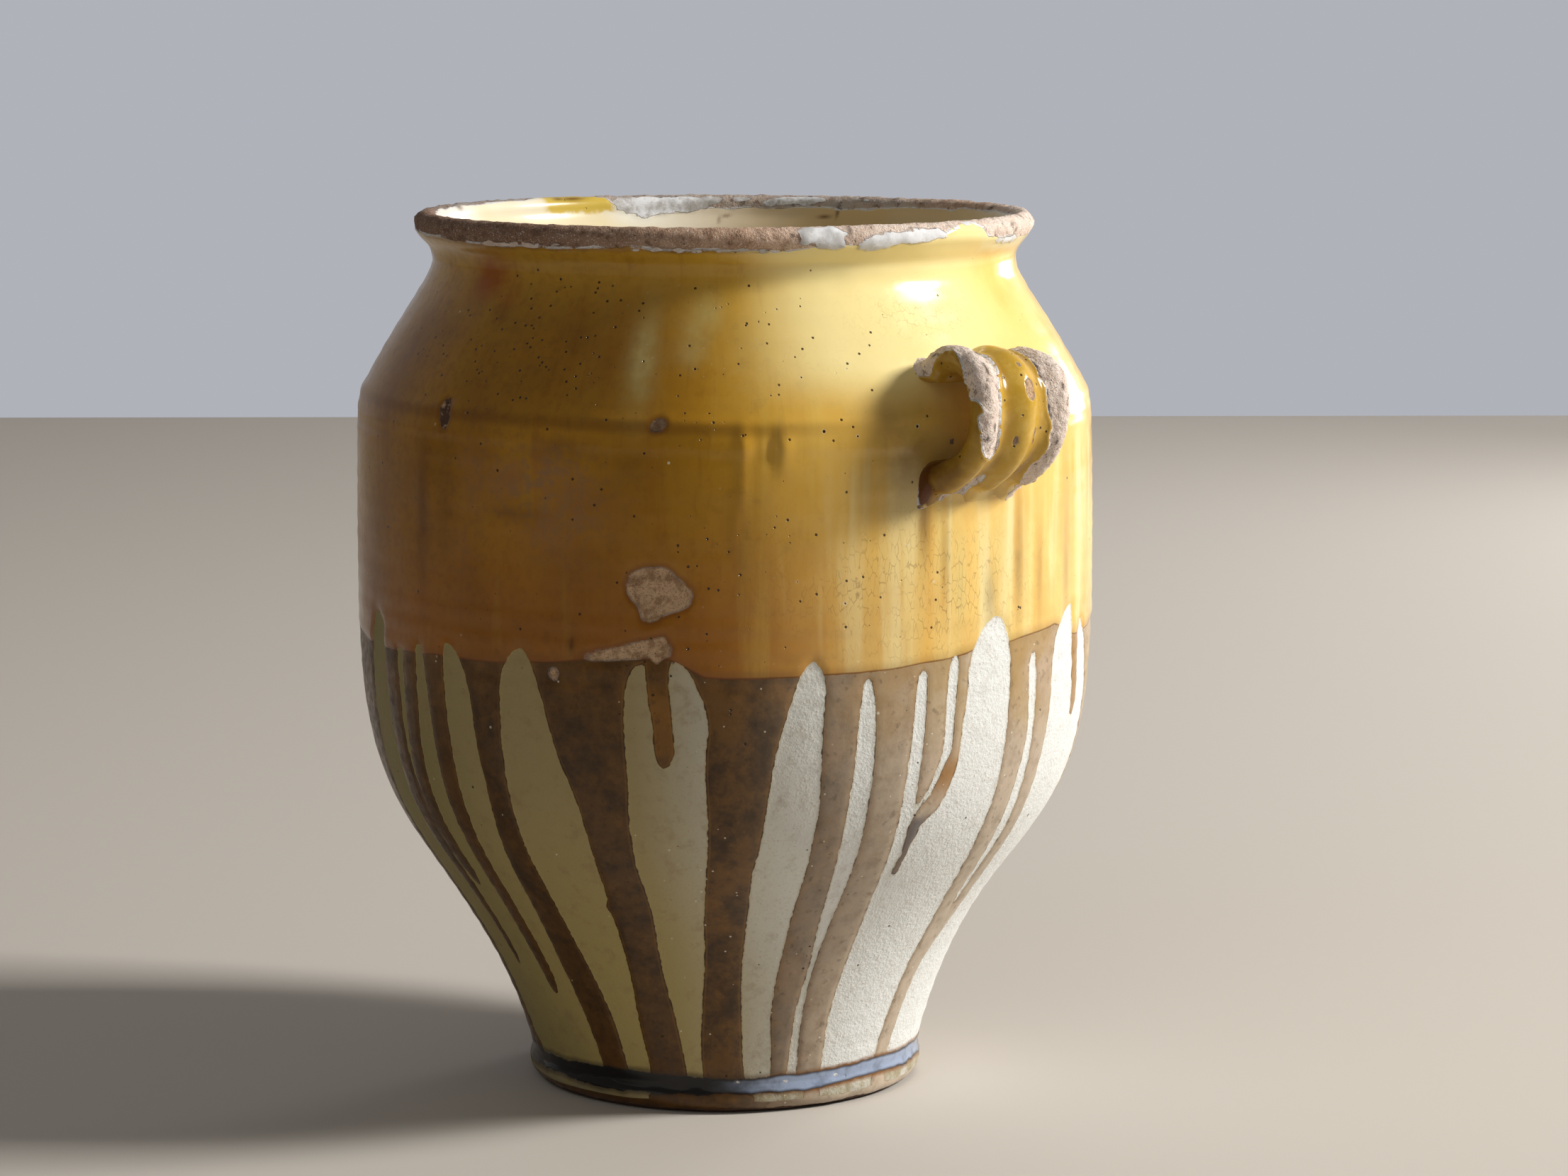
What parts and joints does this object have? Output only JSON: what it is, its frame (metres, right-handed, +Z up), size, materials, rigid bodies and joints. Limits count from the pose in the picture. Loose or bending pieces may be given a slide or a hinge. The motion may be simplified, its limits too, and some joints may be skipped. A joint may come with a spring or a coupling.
{
  "type": "confit pot",
  "caption": "Wheel-thrown earthenware storage pot with a wide mouth, rolled lip, strap handles, yellow-glazed shoulder and slip-dripped body.",
  "frame": {"origin": "centre of the foot, on the surface the pot stands on", "axes": "+Z up along the pot's own axis, the handles on +X and -X, the pictured side towards +X and -Y"},
  "size_m": [0.317, 0.269, 0.32],
  "materials": {
    "glazed_clay": "gloss"
  },
  "bodies": {
    "root": {"pot": "glazed_clay"}
  },
  "joints": []
}
